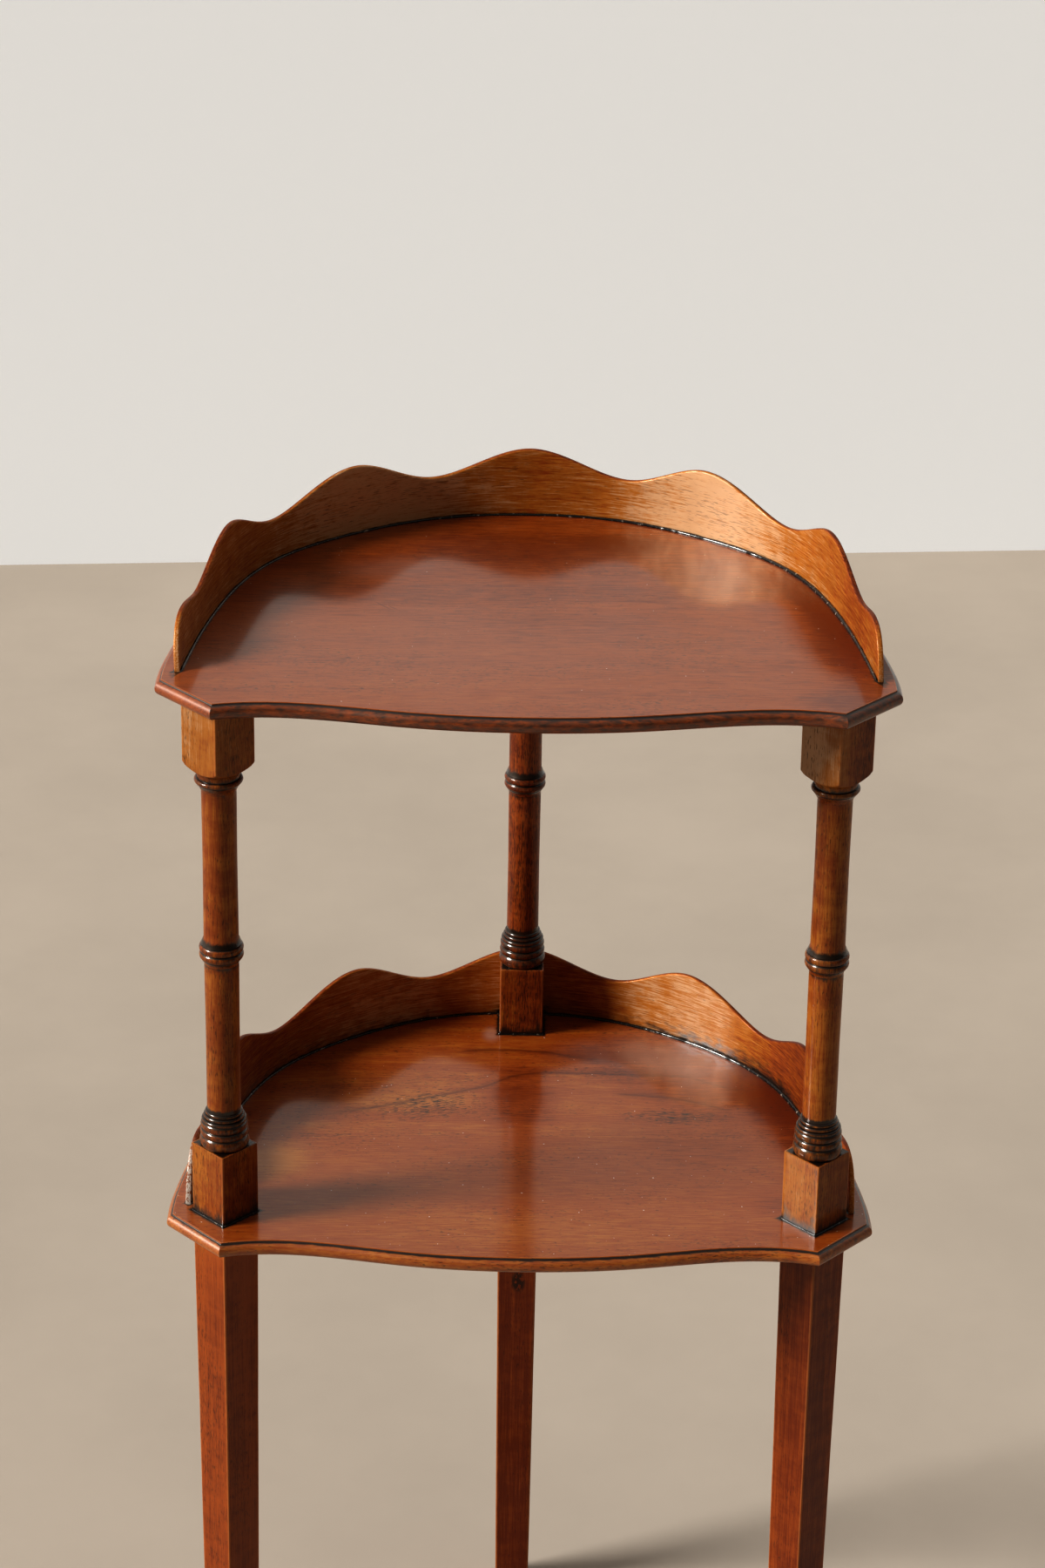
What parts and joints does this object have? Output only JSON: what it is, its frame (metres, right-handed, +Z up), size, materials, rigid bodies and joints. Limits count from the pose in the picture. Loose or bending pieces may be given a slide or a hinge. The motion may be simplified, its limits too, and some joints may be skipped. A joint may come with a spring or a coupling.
{
  "type": "tiered side table",
  "caption": "Small two-tier side table in polished mahogany: D-shaped shelves with scalloped galleries on turned uprights and tapered legs.",
  "frame": {"origin": "on the floor, under the middle of the table's bounding box", "axes": "+Z up, front towards -Y, +X to the right of someone facing the front"},
  "size_m": [0.4174, 0.3146, 0.8202],
  "materials": {
    "shelf_mahogany": "semi-gloss polished red-brown mahogany, grain running left to right",
    "gallery_mahogany": "semi-gloss polished mahogany strip bent along its grain",
    "turned_mahogany": "semi-gloss polished mahogany with dark glaze left in the grooves and light worn arrises",
    "dowel_beech": "plain unfinished beech",
    "pin_steel": "plain bright steel pin",
    "dark_wax": "dark glossy polish and wax left in corners and grooves"
  },
  "bodies": {
    "root": {"top_shelf_front_board": "shelf_mahogany", "top_shelf_back_board": "shelf_mahogany", "lower_shelf_front_board": "shelf_mahogany", "lower_shelf_back_board": "shelf_mahogany", "top_gallery": "gallery_mahogany", "lower_gallery": "gallery_mahogany", "left_front_upright": "turned_mahogany", "right_front_upright": "turned_mahogany", "back_upright": "turned_mahogany", "left_front_leg": "turned_mahogany", "right_front_leg": "turned_mahogany", "back_leg": "turned_mahogany", "left_front_top_dowel": "dowel_beech", "right_front_top_dowel": "dowel_beech", "back_top_dowel": "dowel_beech", "left_front_leg_dowel": "dowel_beech", "right_front_leg_dowel": "dowel_beech", "back_leg_dowel": "dowel_beech", "top_gallery_pins": "pin_steel", "lower_gallery_pins": "pin_steel"}
  },
  "joints": []
}
